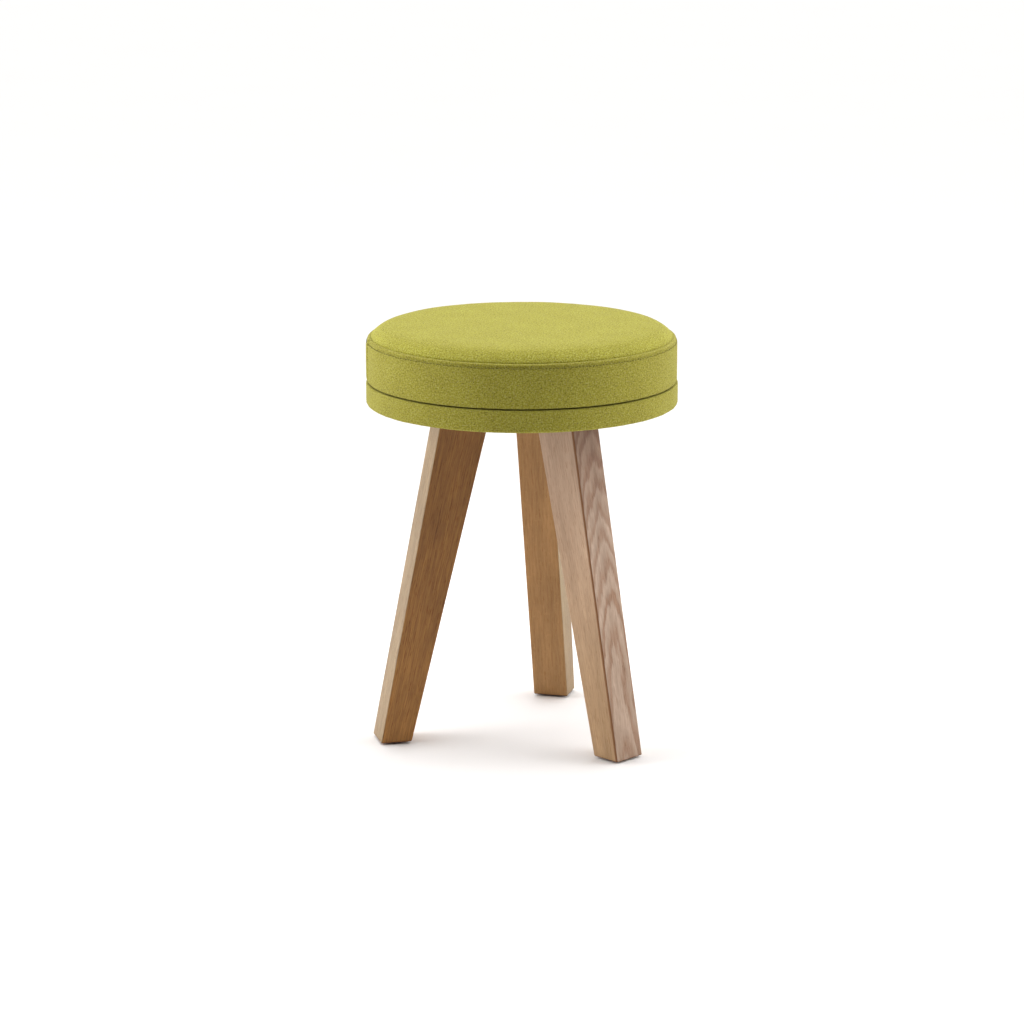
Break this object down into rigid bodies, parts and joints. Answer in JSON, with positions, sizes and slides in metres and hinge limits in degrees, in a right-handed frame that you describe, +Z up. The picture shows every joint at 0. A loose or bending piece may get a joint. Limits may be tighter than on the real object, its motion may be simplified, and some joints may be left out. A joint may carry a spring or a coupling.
{
  "type": "three leg stool",
  "caption": "Low round stool: a boxed wool cushion that swivels on a padded base, on splayed square-cut oak legs.",
  "frame": {"origin": "middle of the floor under the stool, level with the foot glides", "axes": "+Z up along the swivel axis; the front is towards -Y, with one leg at the back (+Y) and one at each side of the front"},
  "size_m": [0.34, 0.34, 0.4605],
  "materials": {
    "oak": "satin",
    "plywood": "matte",
    "wool": "matte",
    "thread": "matte",
    "foam": "matte",
    "wadding": "matte",
    "lining": "matte",
    "zinc_steel": "satin",
    "ball_steel": "polished",
    "ring_alloy": "satin",
    "cage_nylon": "satin",
    "glide_nylon": "satin"
  },
  "bodies": {
    "base": {"leg_front_left": "oak", "leg_front_right": "oak", "leg_rear": "oak", "leg_inserts": "zinc_steel", "leg_bolts": "zinc_steel", "foot_glides": "glide_nylon", "base_board": "plywood", "base_wadding": "wadding", "base_cover": "wool", "base_staples_top": "zinc_steel", "base_staples_under": "zinc_steel", "dust_cover": "lining", "dust_cover_staples": "zinc_steel", "bearing_outer_ring": "ring_alloy", "bearing_outer_screws": "zinc_steel"},
    "ball_set": {"bearing_balls": "ball_steel", "bearing_cage": "cage_nylon"},
    "seat": {"bearing_inner_ring": "ring_alloy", "bearing_inner_screws": "zinc_steel", "seat_board": "plywood", "seat_foam": "foam", "seat_wadding": "wadding", "seat_cover_top": "wool", "seat_cover_side": "wool", "seat_staples": "zinc_steel", "seat_topstitch": "thread"}
  },
  "joints": [
    {"name": "seat_swivel", "type": "hinge", "parent": "base", "child": "seat", "pos_m": [0, 0, 0], "axis": [0, 0, 1], "continuous": true},
    {"name": "ball_orbit", "type": "hinge", "parent": "base", "child": "ball_set", "pos_m": [0, 0, 0], "axis": [0, 0, 1], "continuous": true}
  ],
  "couplings": [
    {"joint": "ball_orbit", "follows": "seat_swivel", "ratio": 0.5}
  ]
}
